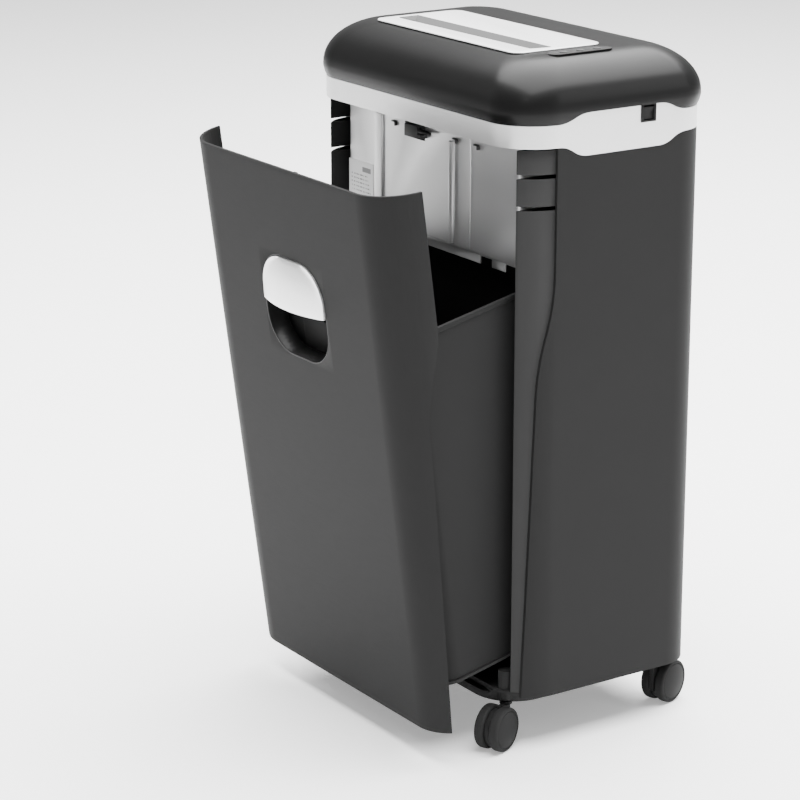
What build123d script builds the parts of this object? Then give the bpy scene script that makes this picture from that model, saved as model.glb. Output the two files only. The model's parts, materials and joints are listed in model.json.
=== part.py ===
from build123d import *
import os
from math import acos, cos, pi, radians, sin, tan

# Office paper shredder with a pull-out, tilting waste bin.
# Millimetres. Origin: centre of the cabinet's plan, on the floor. Front is -Y, right is +X, up is +Z.
# The bin and its door are drawn closed and then moved to their open stop, which is the rest pose.

# ---------------------------------------------------------------- driving sizes
width = 376.0               # cabinet, side to side
depth = 236.0               # cabinet, front to back
front_corner = 49.0         # plan radius of the front corners
rear_corner = 40.0          # plan radius of the rear corners
wall = 3.0                  # side panels, rear panel and top cover
door_wall = 3.0
trim_wall = 2.5
seam = 0.4                  # gap between neighbouring fixed covers
door_gap = 2.5              # gap round the closed door

panel_bottom = 57.0         # lower edge of the side panels and the door
band_low = 618.0            # silver band round the head
band_high = 640.0
badge_low = 607.0           # the band widens to a six-sided field on each side
badge_high = 649.0
badge_front = -45.0
badge_rear = 59.0
badge_slope = 17.0
cover_top = 699.0
cover_round = 36.0          # radius of the cover's soft top edge

# front edge of the side panel, from the top down
edge_top_y = -72.0
edge_bend_z = 470.0
edge_knee_y = -89.0
edge_knee_z = 400.0
edge_foot_y = -100.0
edge_bend_round = 90.0
edge_knee_round = 220.0

# base and casters
floor_top = 61.0            # surface that the bin's rollers run on
floor_thick = 3.5
skirt_bottom = 47.0
skirt_half = 168.0          # half width of the skirt
skirt_front = 117.0
skirt_rear = 108.0
skirt_wall = 3.0
ledge_top = 54.5            # the skirt's ledge passes under the door
base_front = 111.0          # the floor stops behind the door
base_gap = 0.5
wheel_radius = 23.0
wheel_thick = 10.5
wheel_gap = 0.7             # between wheel and hood
web_thick = 5.0
trail = 18.0                # from the stem to the wheel's axle
stem_radius = 4.0
stem_top = 78.0
collar_radius = 6.5
collar_bottom = 43.5
collar_top = 46.8
axle_radius = 2.5
socket_radius = 6.0
boss_radius = 8.0
run_fit = 0.05              # radial clearance of every running fit
casters = {                 # name: stem x, stem y, heading of the trail in degrees
    "front_right": (152.0, -100.0, -66.5),
    "front_left": (-152.0, -100.0, -112.0),
    "rear_right": (156.0, 88.0, 108.5),
    "rear_left": (-156.0, 88.0, 74.0),
}

# how the bin unit opens
heel_y = 46.5               # roller axle, with the bin closed
pull = 82.2                 # travel of the rollers
tilt = 7.6                  # degrees of lean at the open stop
roller_radius = 11.5
roller_thick = 11.0
roller_x = 134.0
roller_gap = 0.3            # above the floor
heel_axle_radius = 4.0
bracket_x = 120.0
bracket_thick = 5.0

# bin
bin_half = 150.5
bin_front = -92.0
bin_rear = 88.0
bin_corner = 22.0
bin_wall = 2.2
bin_low = 96.0              # underside at the front
bin_high = 463.0            # rim at the front
bin_rise = 5.2              # degrees that floor and rim rise to the rear
rim_out = 2.5
rim_tall = 5.0
carrier_thick = 2.5
carrier_lip = 2.0
pad_half = 30.0
pad_proud = 2.5
pad_low = 400.0
pad_high = 452.0

# handle
handle_z = 469.0
handle_half = 58.0
handle_top = 54.0           # above handle_z
handle_drop = 52.0          # below handle_z
handle_corner = 40.0
cup_depth = 21.0
cup_wall = 2.0
grip_proud = 1.6
grip_thick = 3.0
grip_lip = 12.0
grip_fit = 0.3

# front pillars
pillar_gap = 1.0            # behind the door and the side panel
pillar_wall = 2.5
pillar_inner = 166.0
pillar_back = -48.0
slot_levels = (559.0, 590.0)
slot_tall = 4.0
slot_inner = 161.0

# cutting head
deck_top = 497.0
deck_thick = 2.5
housing_half = 153.5
housing_rib = (-98.0, -85.0, 2.5)      # left edge, right edge, how far it stands out
housing_bar = (40.0, 4.0)             # x of its axis, radius
housing_seam = (70.0, 72.0, 1.2)      # left edge, right edge, how far it stands out
label_box = (-150.0, -104.0, 514.0, 552.0)
label_thick = 0.3
switch_box = (-44.0, -9.0, 594.0, 611.0)
switch_notch = (-16.0, 600.0, 608.0)  # open to the right, for the lever
lip_tabs = ((-153.5, 87.0), (106.0, 129.0))
housing_front = -92.0
housing_rear = 100.0
housing_round = 8.0
housing_wall = 2.0
housing_top = 630.0
lip_drop = 8.0
plate_x = 126.0             # middle of each frame plate
plate_thick = 4.0
nip_y = -37.0               # paper path
shaft_z = 590.0
shaft_spacing = 36.0
lever_pivot = -12.5          # safety switch lever: X of its pivot
lever_z = 604.0
lever_long = 20.0
lever_tip = 1.4
lever_proud = 4.4           # in front of the housing
lever_play = 0.7            # the door's finger stops this far short of the lever
disc_radius = 20.0
disc_pitch = 8.0
disc_thick = 3.8
disc_count = 27
core_radius = 9.0           # cutter shaft between the plates
journal_radius = 6.0
bush_radius = 9.0
bush_long = 7.0
gear_width = 6.0
backlash = 0.16
comb_reach = 0.8
comb_thick = 3.0

# feed opening and controls
paper_long = 222.0
paper_gap = 5.0
guide_wall = 2.5
feed_half = 125.0
feed_front = -78.0
feed_rear = 28.0
feed_corner = 12.0
feed_proud = 1.5
feed_step = 5.0
funnel_long = 232.0
funnel_wide = 24.0
funnel_shift = -3.5         # the mouth opens more to the front
funnel_deep = 7.0
panel_fit = 0.3
strip_x = 143.0
strip_y = -14.0
strip_long = 74.0
strip_wide = 15.0
key_radius = 4.0
key_spacing = 20.0
key_travel = 1.0
rocker_y = 36.0
rocker_z = 641.0
rocker_frame_half = 9.0
rocker_half = 6.2
rocker_window = 7.5
rocker_pivot_in = 5.0       # pivot below the outer face
rocker_pin = 1.6
rocker_pin_long = 1.2       # how far each pin stands out of the rocker
rocker_throw = 12.0

# screws
screw_radius = 2.0
screw_head = 4.0
screw_head_tall = 2.2
flange_thick = 3.0
flange_wide = 17.0

# ---------------------------------------------------------------- worked out from the above
half = width / 2
front = -depth / 2
rear = depth / 2
front_arc = (half - front_corner, front + front_corner)
heel_z = floor_top + roller_gap + roller_radius
rear_shaft_y = nip_y + shaft_spacing / 2
front_shaft_y = nip_y - shaft_spacing / 2
gland_spot = (-110.0, 90.0)
gland_bore = 4.0
gland_radius = 8.0


# ---------------------------------------------------------------- shape helpers
def box(x0, x1, y0, y1, z0, z1):
    return Pos((x0 + x1) / 2, (y0 + y1) / 2, (z0 + z1) / 2) * Box(x1 - x0, y1 - y0, z1 - z0)


def rod_x(y, z, radius, x0, x1):
    return Pos((x0 + x1) / 2, y, z) * Rot(0, 90, 0) * Cylinder(radius, x1 - x0)


def rod_y(x, z, radius, y0, y1):
    return Pos(x, (y0 + y1) / 2, z) * Rot(90, 0, 0) * Cylinder(radius, y1 - y0)


def rod_z(x, y, radius, z0, z1):
    return Pos(x, y, (z0 + z1) / 2) * Cylinder(radius, z1 - z0)


def plan(half_x, y0, y1, front_round, rear_round):
    """Flat rectangle with its own radius at the front and at the rear corners."""
    sheet = Pos(0, (y0 + y1) / 2) * Rectangle(2 * half_x, y1 - y0)
    sheet = fillet(sheet.vertices().group_by(Axis.Y)[0], front_round)
    return fillet(sheet.vertices().group_by(Axis.Y)[-1], rear_round)


def cabinet_plan(inset):
    return plan(half - inset, front + inset, rear - inset, front_corner - inset, rear_corner - inset)


def slab(sheet, z0, z1):
    return Pos(0, 0, z0) * extrude(sheet, z1 - z0)


def skin(thickness, z0, z1):
    """Upright wall that follows the cabinet's plan."""
    return slab(cabinet_plan(0) - cabinet_plan(thickness), z0, z1)


def side_profile(points, rounds, x0, x1):
    """Solid whose outline is given in the side view, as (y, z) points, with some corners rounded."""
    sheet = make_face(Polyline(*points, close=True))
    for y, z, radius in rounds:
        corner = sheet.vertices().sort_by_distance((y, z, 0))[0]
        sheet = fillet(corner, radius)
    return extrude(Plane.YZ.offset(x0) * sheet, x1 - x0)


def front_profile(sheet, y0, y1):
    """Solid whose outline is a sketch in the front view, in X and Z."""
    return Pos(0, y1, 0) * Rot(90, 0, 0) * extrude(sheet, y1 - y0)


def involute(angle):
    return tan(angle) - angle


def gear(teeth, module, bore, toward, on_tooth, y, z, x0, x1):
    """Spur gear about an X axis. A tooth, or else a gap, points toward the given angle."""
    pitch = teeth * module / 2
    base = pitch * cos(radians(20))
    tip = pitch + 0.95 * module
    root = pitch - 1.2 * module
    half_tooth = pi / (2 * teeth) - backlash / (2 * pitch)
    start = max(base, root)
    steps = [start + (tip - start) * i / 4 for i in range(5)]
    spread = [half_tooth + involute(radians(20)) - involute(acos(min(1, base / r))) for r in steps]
    turn = toward if on_tooth else toward + pi / teeth
    points = []
    for tooth in range(teeth):
        middle = turn + 2 * pi * tooth / teeth
        points.append((root, middle - spread[0]))
        points += [(r, middle - s) for r, s in zip(steps, spread)]
        points += [(r, middle + s) for r, s in zip(steps[::-1], spread[::-1])]
        points.append((root, middle + spread[0]))
    if root >= base:
        points = [p for i, p in enumerate(points) if i % 12 not in (0, 11)]
    outline = Polyline(*[(r * cos(a), r * sin(a)) for r, a in points], close=True)
    blank = make_face(outline) - Circle(bore)
    return extrude(Plane.YZ.offset(x0) * Pos(y, z) * blank, x1 - x0)


def screw_y(x, z, face, length, inward=1):
    """Pan-head screw along Y with its head on the given face."""
    head = rod_y(x, z, screw_head, min(face, face - inward * screw_head_tall),
                 max(face, face - inward * screw_head_tall))
    shank = rod_y(x, z, screw_radius, min(face, face + inward * length), max(face, face + inward * length))
    return head + shank


def opened(shape):
    """Moves a piece of the bin unit from closed to the open stop."""
    return Pos(0, heel_y - pull, heel_z) * Rot(tilt, 0, 0) * Pos(0, -heel_y, -heel_z) * shape


# ---------------------------------------------------------------- cabinet
def badge(grow):
    """Side view of the silver band, grown by a margin."""
    points = [
        (front - 5, band_low - grow), (badge_front - badge_slope, band_low - grow),
        (badge_front, badge_low - grow), (badge_rear, badge_low - grow),
        (badge_rear + badge_slope, band_low - grow), (rear + 5, band_low - grow),
        (rear + 5, band_high + grow), (badge_rear + badge_slope, band_high + grow),
        (badge_rear, badge_high + grow), (badge_front, badge_high + grow),
        (badge_front - badge_slope, band_high + grow), (front - 5, band_high + grow),
    ]
    rounds = [(y, z, 8.0) for y, z in points[1:5] + points[7:11]]
    return side_profile(points, rounds, -half - 5, half + 5)


def edge_line(shift, top):
    """Front edge of the side panel in the side view, moved forward by shift, from the top down."""
    return [(edge_top_y - shift, top), (edge_top_y - shift, edge_bend_z),
            (edge_knee_y - shift, edge_knee_z), (edge_foot_y - shift, panel_bottom)]


def edge_rounds(shift):
    return [(edge_top_y - shift, edge_bend_z, edge_bend_round),
            (edge_knee_y - shift, edge_knee_z, edge_knee_round)]


def rear_screw_spots():
    flange_x = half - rear_corner - flange_wide / 2 - seam
    return [(side * flange_x, z) for side in (-1, 1) for z in (85.0, 335.0, 585.0)]


def side_panel(side):
    view = edge_line(0, band_low) + [(rear + 5, panel_bottom), (rear + 5, band_low)]
    shell = skin(wall, panel_bottom, band_low)
    shell &= side_profile(view, edge_rounds(0), 0 if side > 0 else -half - 5, half + 5 if side > 0 else 0)
    shell -= badge(seam)
    flat = half - rear_corner
    shell -= box(-flat, flat, rear - wall - 1, rear + 1, panel_bottom - 1, band_low + 1)
    inner = flat - flange_wide
    flange = box(inner, flat + 1, rear - wall - flange_thick, rear - wall, panel_bottom, band_low - seam)
    flange = flange if side > 0 else mirror(flange, Plane.YZ)
    for x, z in rear_screw_spots():
        flange -= rod_y(x, z, screw_radius, rear - 20, rear)
    return shell + flange


def rear_panel():
    flat = half - rear_corner - seam
    panel = box(-flat, flat, rear - wall, rear, panel_bottom, band_low - seam)
    for row in range(7):
        for side in (-1, 1):
            vent = SlotOverall(64, 4.5)
            level = 520 + 10 * row
            panel -= front_profile(Pos(side * 50, level) * vent, rear - wall - 1, rear + 1)
    for x, z in rear_screw_spots():
        panel -= rod_y(x, z, screw_radius, rear - 20, rear + 1)
    panel -= rod_y(gland_spot[0], gland_spot[1], gland_radius, rear - 20, rear + 1)
    return panel


def cord_gland():
    x, z = gland_spot
    body = rod_y(x, z, gland_radius, rear - wall - 6, rear)
    body += rod_y(x, z, gland_radius + 3, rear, rear + 2.5)
    body += rod_y(x, z, gland_radius + 3, rear - wall - 6, rear - wall)
    return body - rod_y(x, z, gland_bore, rear - 20, rear + 10)


def front_pillar(side):
    cx, cy = front_arc
    outer = front_corner - door_wall - pillar_gap
    inner = outer - pillar_wall
    ring = Circle(outer) - Circle(inner)
    ring &= Pos(outer / 2, -outer / 2) * Rectangle(outer, outer)
    sheet = Pos(cx, cy) * ring
    sheet += Pos(cx + (outer + inner) / 2, (cy + pillar_back) / 2) * Rectangle(pillar_wall, pillar_back - cy)
    sheet -= Pos(pillar_inner - 50, cy) * Rectangle(100, 200)
    start = cy - (inner ** 2 - (pillar_inner - cx) ** 2) ** 0.5
    sheet += Pos(pillar_inner + pillar_wall / 2, (start - 1 + pillar_back - 10) / 2) * Rectangle(
        pillar_wall, pillar_back - 10 - start + 1)
    post = slab(sheet, floor_top, band_low - 2)
    for level in slot_levels:
        post -= box(slot_inner, half, front, cy + 8, level - slot_tall / 2, level + slot_tall / 2)
    stem_x, stem_y, heading = casters["front_right"]
    post -= rod_z(stem_x, stem_y, boss_radius + pillar_gap, floor_top - 1, stem_top + 2 + pillar_gap)
    return post if side > 0 else mirror(post, Plane.YZ)


def base_tray():
    skirt_plan = plan(skirt_half, -skirt_front, skirt_rear, front_corner - 4, rear_corner - 4)
    inner_plan = plan(skirt_half - skirt_wall, skirt_wall - skirt_front, skirt_rear - skirt_wall,
                      front_corner - 4 - skirt_wall, rear_corner - 4 - skirt_wall)
    floor_rear = rear - wall - flange_thick - base_gap
    floor_plan = plan(half - wall - base_gap, -base_front, floor_rear, front_corner - 7, rear_corner)
    floor_low = floor_top - floor_thick
    tray = slab(floor_plan, floor_low, floor_top)
    skirt = slab(skirt_plan - inner_plan, skirt_bottom, floor_low)
    skirt -= box(-half, half, front, -base_front - 1, ledge_top, floor_low + 1)
    skirt += slab(skirt_plan, ledge_top - 2.5, ledge_top) & box(-half, half, front, -base_front + 6, 0, 80)
    riser = box(-half, half, -base_front, -base_front + 3, 0, 80)
    skirt += slab(skirt_plan, ledge_top - 2.5, floor_low) & riser
    tray += skirt
    for x, y, heading in casters.values():
        tray += rod_z(x, y, boss_radius, skirt_bottom + 2, stem_top + 2)
        tray -= rod_z(x, y, socket_radius, 0, stem_top + 1)
    for side in (-1, 1):
        for offset in (-1, 1):
            rib_x = side * roller_x + offset * (roller_thick / 2 + 2.2)
            tray += box(rib_x - 0.9, rib_x + 0.9, heel_y - pull - 22, heel_y + 24,
                        floor_top - 1, floor_top + 3)
    return tray


def caster_sockets():
    sleeves = []
    for x, y, heading in casters.values():
        sleeve = rod_z(x, y, socket_radius, skirt_bottom + 2, stem_top + 1)
        sleeves.append(sleeve - rod_z(x, y, stem_radius + run_fit, 0, stem_top + 0.2))
    return Compound(sleeves)


def trim_band():
    band = skin(trim_wall, badge_low - 5, badge_high + 5) & badge(0)
    return band - rocker_hole()


def top_cover():
    outer = slab(cabinet_plan(0), band_high - 10, cover_top)
    outer = fillet(outer.faces().sort_by(Axis.Z)[-1].edges(), cover_round)
    inner = slab(cabinet_plan(wall), band_high - 11, cover_top - wall)
    inner = fillet(inner.faces().sort_by(Axis.Z)[-1].edges(), cover_round - wall)
    cover = outer - inner
    cover -= slab(cabinet_plan(-5), band_high - 20, band_high + seam)
    cover -= badge(seam)
    opening = plan(feed_half - feed_step + panel_fit, feed_front + feed_step - panel_fit,
                   feed_rear - feed_step + panel_fit, feed_corner - feed_step, feed_corner - feed_step)
    cover -= slab(opening, cover_top - 20, cover_top + 5)
    strip = Pos(strip_x, strip_y) * Rot(0, 0, 90) * SlotOverall(strip_long - 4, strip_wide - 4)
    cover -= slab(strip, cover_top - 20, cover_top + 5)
    return cover - rocker_hole()


# ---------------------------------------------------------------- feed opening and controls
def feed_plate():
    top = plan(feed_half, feed_front, feed_rear, feed_corner, feed_corner)
    low = plan(feed_half - feed_step, feed_front + feed_step, feed_rear - feed_step,
               feed_corner - feed_step, feed_corner - feed_step)
    plate = slab(top, cover_top, cover_top + feed_proud) + slab(low, cover_top - 8, cover_top)
    mouth = Pos(0, nip_y + funnel_shift, cover_top + feed_proud) * Rectangle(funnel_long, funnel_wide)
    throat = Pos(0, nip_y, cover_top + feed_proud - funnel_deep) * Rectangle(paper_long, paper_gap)
    plate -= loft([mouth, throat])
    return plate - box(-paper_long / 2, paper_long / 2, nip_y - paper_gap / 2, nip_y + paper_gap / 2,
                       cover_top - 20, cover_top)


def throat_guide():
    top = cover_top - 8
    low = shaft_z + disc_radius + 2
    x = paper_long / 2
    y = paper_gap / 2
    tube = box(-x - guide_wall, x + guide_wall, nip_y - y - guide_wall, nip_y + y + guide_wall, low, top)
    tube += box(-x - 8, x + 8, nip_y - y - 14, nip_y + y + 14, top - 2, top)
    return tube - box(-x, x, nip_y - y, nip_y + y, low - 5, top + 5)


def key_spots():
    return [(strip_x, strip_y + key_spacing * step) for step in (-1, 0, 1)]


def control_bezel():
    rim = Pos(strip_x, strip_y) * Rot(0, 0, 90) * SlotOverall(strip_long, strip_wide)
    body = Pos(strip_x, strip_y) * Rot(0, 0, 90) * SlotOverall(strip_long - 4, strip_wide - 4)
    bezel = slab(rim, cover_top, cover_top + 0.8) + slab(body, cover_top - 6, cover_top)
    for x, y in key_spots():
        bezel -= rod_z(x, y, key_radius + run_fit, cover_top - 10, cover_top + 5)
    return bezel


def control_key(index):
    x, y = key_spots()[index]
    cap = rod_z(x, y, key_radius, cover_top - 8, cover_top + 1.8)
    cap = chamfer(cap.edges().sort_by(Axis.Z)[-1], 0.5)
    return cap + rod_z(x, y, key_radius + 1, cover_top - 8, cover_top - 6.1)


def control_board():
    top = cover_top - 8 - key_travel - 2.2
    board = box(strip_x - 22, strip_x + 13, strip_y - 42, strip_y + 42, top - 1.6, top)
    for x, y in key_spots():
        board += box(x - 3, x + 3, y - 3, y + 3, top, top + 2)
    board += box(strip_x - 20, strip_x - 11, strip_y - 38, strip_y - 20, top - 10, top - 1.6)
    board += rod_z(strip_x - 14, strip_y + 12, 5, top - 14, top - 1.6)
    board += box(strip_x - 20, strip_x - 8, strip_y + 24, strip_y + 38, top - 9, top - 1.6)
    return board


def rocker_hole():
    reach = rocker_frame_half - 1
    return box(half - 20, half + 5, rocker_y - reach, rocker_y + reach, rocker_z - reach, rocker_z + reach)


def rocker_frame():
    y, z, reach = rocker_y, rocker_z, rocker_frame_half
    frame = box(half, half + 1.2, y - reach, y + reach, z - reach, z + reach)
    frame += box(half - 18, half, y - reach + 1, y + reach - 1, z - reach + 1, z + reach - 1)
    frame -= box(half - 16, half + 5, y - rocker_half - 0.4, y + rocker_half + 0.4,
                 z - rocker_window, z + rocker_window)
    end = rocker_half + rocker_pin_long + 0.1
    return frame - rod_y(half - rocker_pivot_in, z, rocker_pin + run_fit, y - end, y + end)


def power_rocker():
    """Rocker drawn in its off position, leaning on its upper end."""
    pivot = half - rocker_pivot_in
    r = rocker_half
    sheet = make_face(Polyline((-4, -r), (-4, r), (5, r), (3.9, 0), (5, -r), close=True))
    block = extrude(Plane.XZ * sheet, 2 * r)
    block = Pos(0, r, 0) * block
    block = Pos(pivot, rocker_y, rocker_z) * Rot(0, rocker_throw / 2, 0) * block
    end = r + rocker_pin_long
    return block + rod_y(pivot, rocker_z, rocker_pin, rocker_y - end, rocker_y + end)


# ---------------------------------------------------------------- cutting head
def head_deck():
    top = deck_top
    low = deck_top - deck_thick
    deck = box(-half + wall + base_gap, half - wall - base_gap, pillar_back + 4, rear - 45, low, top)
    deck += box(-housing_half, housing_half, housing_front + 2, pillar_back + 4, low, top)
    deck -= box(-112, 112, nip_y - 40, nip_y + 42, low - 1, top + 1)
    for x0, x1 in lip_tabs:
        deck += box(x0, x1, housing_front + 2, housing_front + 4, low - lip_drop, low)
    return deck


def cutter_housing():
    outer = plan(housing_half, housing_front, housing_rear, housing_round, housing_round)
    inner = plan(housing_half - housing_wall, housing_front + housing_wall, housing_rear - housing_wall,
                 housing_round - housing_wall, housing_round - housing_wall)
    shell = slab(outer - inner, deck_top, housing_top)
    y = housing_front
    x0, x1, proud = housing_rib
    shell += box(x0, x1, y - proud, y, deck_top + 2, band_low - 9)
    x, r = housing_bar
    outside = box(x - 2 * r, x + 2 * r, y - 2 * r, y + 1, 0, cover_top)
    shell += rod_z(x, y, r, deck_top + 2, band_low - 16) & outside
    x0, x1, proud = housing_seam
    shell += box(x0, x1, y - proud, y, deck_top + 2, band_low - 9)
    x0, x1, z0, z1 = switch_box
    return shell - box(x0 - seam, x1 + seam, y - 1, y + 3, z0 - seam, z1 + seam)


def rating_label():
    x0, x1, z0, z1 = label_box
    return box(x0, x1, housing_front - label_thick, housing_front, z0, z1)


def interlock_switch():
    y = housing_front
    x0, x1, z0, z1 = switch_box
    notch, low, high = switch_notch
    return box(x0, x1, y - 8, y + 9, z0, z1) - box(notch, x1 + 1, y - 9, y + 13, low, high)


def interlock_lever():
    """Pivot and tapered arm of the safety switch, reaching to the right."""
    y = housing_front - lever_proud
    root = Pos(lever_pivot, y, lever_z) * Rot(0, 90, 0) * Circle(2.8)
    tip = Pos(lever_pivot + lever_long, y, lever_z) * Rot(0, 90, 0) * Circle(lever_tip)
    return rod_z(lever_pivot, y, 2.6, lever_z - 3.7, lever_z + 3.7) + loft([root, tip])


def frame_plate(side):
    x = side * plate_x
    t = plate_thick / 2
    view = [(-84, deck_top), (92, deck_top), (92, 600), (76, 616), (-72, 616), (-84, 604)]
    plate = side_profile(view, [], x - t, x + t)
    for y in (front_shaft_y, rear_shaft_y):
        plate -= rod_x(y, shaft_z, bush_radius, x - 10, x + 10)
    for y, z in rod_spots():
        plate -= rod_x(y, z, 3.0, x - 10, x + 10)
    if side < 0:
        my, mz = motor_spot()
        iy, iz = idler_spot()
        plate -= rod_x(my, mz, 12.0, x - 10, x + 10)
        plate -= rod_x(iy, iz, 3.0, x - 10, x + 10)
    return plate


def rod_spots():
    return [(-72.0, 545.0), (12.0, 512.0), (86.0, 600.0)]


idler_gears = (60, 1.0, 17, 1.25)      # big teeth, module, small teeth, module
drive_gear = (44, 1.25)
pinion_gear = (17, 1.0)
sync_gear = (24, 1.5)
idler_angle = radians(-23)             # from the rear cutter shaft to the idler
motor_angle = radians(-20)             # from the idler to the motor


def idler_spot():
    reach = (drive_gear[0] * drive_gear[1] + idler_gears[2] * idler_gears[3]) / 2
    return rear_shaft_y + reach * cos(idler_angle), shaft_z + reach * sin(idler_angle)


def motor_spot():
    y, z = idler_spot()
    reach = (idler_gears[0] * idler_gears[1] + pinion_gear[0] * pinion_gear[1]) / 2
    return y + reach * cos(motor_angle), z + reach * sin(motor_angle)


gear_a = (-plate_x - plate_thick / 2 - 3 - gear_width, -plate_x - plate_thick / 2 - 3)
gear_b = (gear_a[0] - 2 - 8, gear_a[0] - 2)


def frame_rods():
    rods = []
    end = plate_x + plate_thick / 2
    for y, z in rod_spots():
        rod = rod_x(y, z, 4.0, -end + plate_thick, end - plate_thick)
        rod += rod_x(y, z, 3.0, -end - 2, end + 2)
        rods.append(rod)
    y, z = idler_spot()
    rods.append(rod_x(y, z, 3.0, gear_b[0] - 3, -end + plate_thick) + rod_x(y, z, 5.0, -end - 2, -end))
    return Compound(rods)


def shaft_bushes():
    bushes = []
    for side in (-1, 1):
        for y in (front_shaft_y, rear_shaft_y):
            x = side * plate_x
            bush = rod_x(y, shaft_z, bush_radius, x - plate_thick / 2, x + plate_thick / 2)
            bush -= rod_x(y, shaft_z, journal_radius + run_fit, x - 20, x + 20)
            bushes.append(bush)
    return Compound(bushes)


def stripper_combs():
    combs = []
    for side, y in ((-1, front_shaft_y), (1, rear_shaft_y)):
        count = disc_count + 1 if side < 0 else disc_count + 2
        start = -disc_pitch * (count - 1) / 2
        near = core_radius + comb_reach
        far = disc_radius + 2
        spine = box(-plate_x + 2, plate_x - 2, y + side * far if side > 0 else y - far - 4,
                    y + far + 4 if side > 0 else y - far, shaft_z - 5, shaft_z + 5)
        for i in range(count):
            x = start + disc_pitch * i
            spine += box(x - comb_thick / 2, x + comb_thick / 2, y + near if side > 0 else y - far - 1,
                         y + far + 1 if side > 0 else y - near, shaft_z - 3, shaft_z + 3)
        combs.append(spine)
    return Compound(combs)


def cutter_shaft(y, left_end, right_end):
    """Shaft with a thick core that carries the discs and a journal at each end."""
    inner = plate_x - plate_thick / 2 - 1
    core = rod_x(y, shaft_z, core_radius, -inner, inner)
    return core + rod_x(y, shaft_z, journal_radius, left_end, right_end)


def cutter_discs(y, count):
    discs = []
    start = -disc_pitch * (count - 1) / 2
    face = Circle(disc_radius)
    for tooth in range(3):
        notch = Rot(0, 0, 120 * tooth) * Pos(disc_radius - 1, 0) * Rot(0, 0, 45) * Rectangle(4, 4)
        face -= notch
    face -= Circle(core_radius)
    for i in range(count):
        x = start + disc_pitch * i - disc_thick / 2
        turned = Pos(y, shaft_z) * Rot(0, 0, 24 * i) * face
        discs.append(extrude(Plane.YZ.offset(x) * turned, disc_thick))
    return Compound(discs)


def cutter_gears_rear():
    iy, iz = idler_spot()
    teeth, module = drive_gear
    drive = gear(teeth, module, journal_radius, idler_angle, True, rear_shaft_y, shaft_z, *gear_b)
    sync = gear(*sync_gear, journal_radius, pi, True, rear_shaft_y, shaft_z, plate_x + 5, plate_x + 13)
    return Compound([drive, sync])


def sync_gear_front():
    return gear(*sync_gear, journal_radius, 0, False, front_shaft_y, shaft_z, plate_x + 5, plate_x + 13)


def idler_gear():
    y, z = idler_spot()
    bore = 3.0 + run_fit
    big, big_module, small, small_module = idler_gears
    wheel = gear(big, big_module, bore, motor_angle, True, y, z, *gear_a)
    wheel += gear(small, small_module, bore, idler_angle + pi, False, y, z, gear_b[0], gear_a[0] + 0.5)
    return wheel


def motor_pinion():
    y, z = motor_spot()
    return gear(*pinion_gear, 3.0, motor_angle + pi, False, y, z, *gear_a)


def motor_shaft():
    y, z = motor_spot()
    shaft = rod_x(y, z, 3.0, gear_a[0] - 1, -10)
    return shaft + rod_x(y, z, 24.0, -100, -40)


def motor():
    y, z = motor_spot()
    left = -plate_x + plate_thick / 2
    can = rod_x(y, z, 30.0, left, -14)
    can -= rod_x(y, z, 26.0, left + 4, -18)
    can -= rod_x(y, z, 3.0 + run_fit, left - 1, -13)
    return can


# ---------------------------------------------------------------- bin unit, drawn closed
def bin_line(y, level):
    return level + (y - bin_front) * tan(radians(bin_rise))


def bin_slice(low, high, y0, y1):
    """Side-view band between two levels that rise to the rear."""
    points = [(y0, bin_line(y0, low)), (y1, bin_line(y1, low)),
              (y1, bin_line(y1, high)), (y0, bin_line(y0, high))]
    return side_profile(points, [], -half, half)


def handle_sheet(inset, low, high):
    """Front view of the handle's opening between two levels."""
    sheet = Rectangle(2 * (handle_half - inset), handle_top + handle_drop - 2 * inset)
    sheet = fillet(sheet.vertices(), handle_corner - inset)
    sheet = Pos(0, (handle_top - handle_drop) / 2) * sheet
    window = Pos(0, (low + high) / 2) * Rectangle(3 * handle_half, high - low)
    return Pos(0, handle_z) * (sheet & window)


def door_panel():
    top = band_low - door_gap
    view = edge_line(door_gap, top) + [(front - 5, panel_bottom), (front - 5, top)]
    door = skin(door_wall, panel_bottom, top) & side_profile(view, edge_rounds(door_gap), -half - 5, half + 5)
    door -= front_profile(handle_sheet(0, -90, 90), front - 1, front + 10)
    inner = front + door_wall
    finger_end = housing_front - lever_proud - 2.0 - lever_play
    door += box(0, 6, inner, finger_end, lever_z - 3, lever_z + 3)
    for side in (-1, 1):
        x = side * 70
        door += box(x - 6, x + 6, inner, -base_front + 0.5, 118, 130)
        door -= rod_y(x, 124, screw_radius, front + 1.5, 0)
    return opened(door)


def handle_cup():
    ring = handle_sheet(0, -90, 90) - handle_sheet(cup_wall, -90, 90)
    cup = front_profile(ring, front, front + cup_depth)
    inner = front + door_wall
    flange = Pos(0, handle_z + (handle_top - handle_drop) / 2) * Rectangle(
        2 * handle_half + 10, handle_top + handle_drop + 10)
    flange = fillet(flange.vertices(), handle_corner) - handle_sheet(1, -90, 90)
    return opened(cup + front_profile(flange, inner, inner + 2))


def handle_grip():
    fit = cup_wall + grip_fit
    face = front_profile(handle_sheet(fit, 2, 90), front - grip_proud, front - grip_proud + grip_thick)
    lip = box(-handle_half + fit, handle_half - fit, front - grip_proud, front + grip_lip,
              handle_z + 2, handle_z + 2 + grip_thick)
    return opened(face + lip)


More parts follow.
